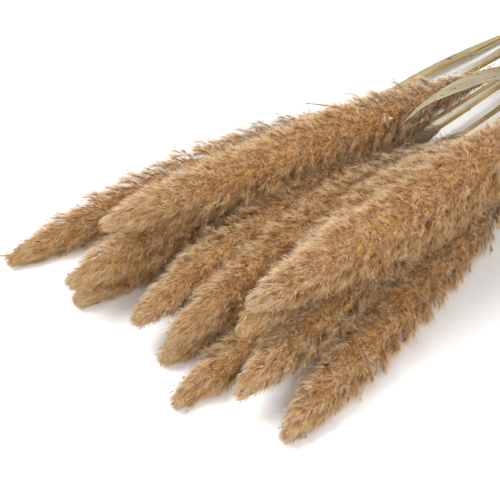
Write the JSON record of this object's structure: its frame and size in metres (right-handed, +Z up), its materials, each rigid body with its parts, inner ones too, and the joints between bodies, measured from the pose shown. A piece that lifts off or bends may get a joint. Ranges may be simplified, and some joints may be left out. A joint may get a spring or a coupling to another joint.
{
  "type": "bundle of dried pampas grass",
  "caption": "Loose bundle of dried, fluffy, golden-beige pampas grass plumes on straw stems, tied with twine near the cut ends and lying on its side.",
  "frame": {"origin": "on the table, under the middle of the bundle's bounding box", "axes": "+X along the bundle from the plume tips to the cut stem ends, +Z up from the table it lies on"},
  "size_m": [0.7202, 0.2286, 0.0817],
  "materials": {
    "plume": "soft matt dry fluff, golden beige with pale hair ends and brown in its depth",
    "stem": "dry straw, slightly glossy, with lengthwise fibres and darker sheath edges",
    "leaf": "dry grey-beige leaf blade with parallel veins and dark specks",
    "twine": "rough natural jute twine"
  },
  "bodies": {
    "root": {"plume_01": "plume", "plume_02": "plume", "plume_03": "plume", "plume_04": "plume", "plume_05": "plume", "plume_06": "plume", "plume_07": "plume", "plume_08": "plume", "plume_09": "plume", "plume_10": "plume", "plume_11": "plume", "plume_12": "plume", "plume_13": "plume", "plume_14": "plume", "stem_01": "stem", "stem_02": "stem", "stem_03": "stem", "stem_04": "stem", "stem_05": "stem", "stem_06": "stem", "stem_07": "stem", "stem_08": "stem", "stem_09": "stem", "stem_10": "stem", "stem_11": "stem", "stem_12": "stem", "stem_13": "stem", "stem_14": "stem", "leaf_01": "leaf", "leaf_02": "leaf", "leaf_03": "leaf", "binding_twine": "twine"}
  },
  "joints": []
}
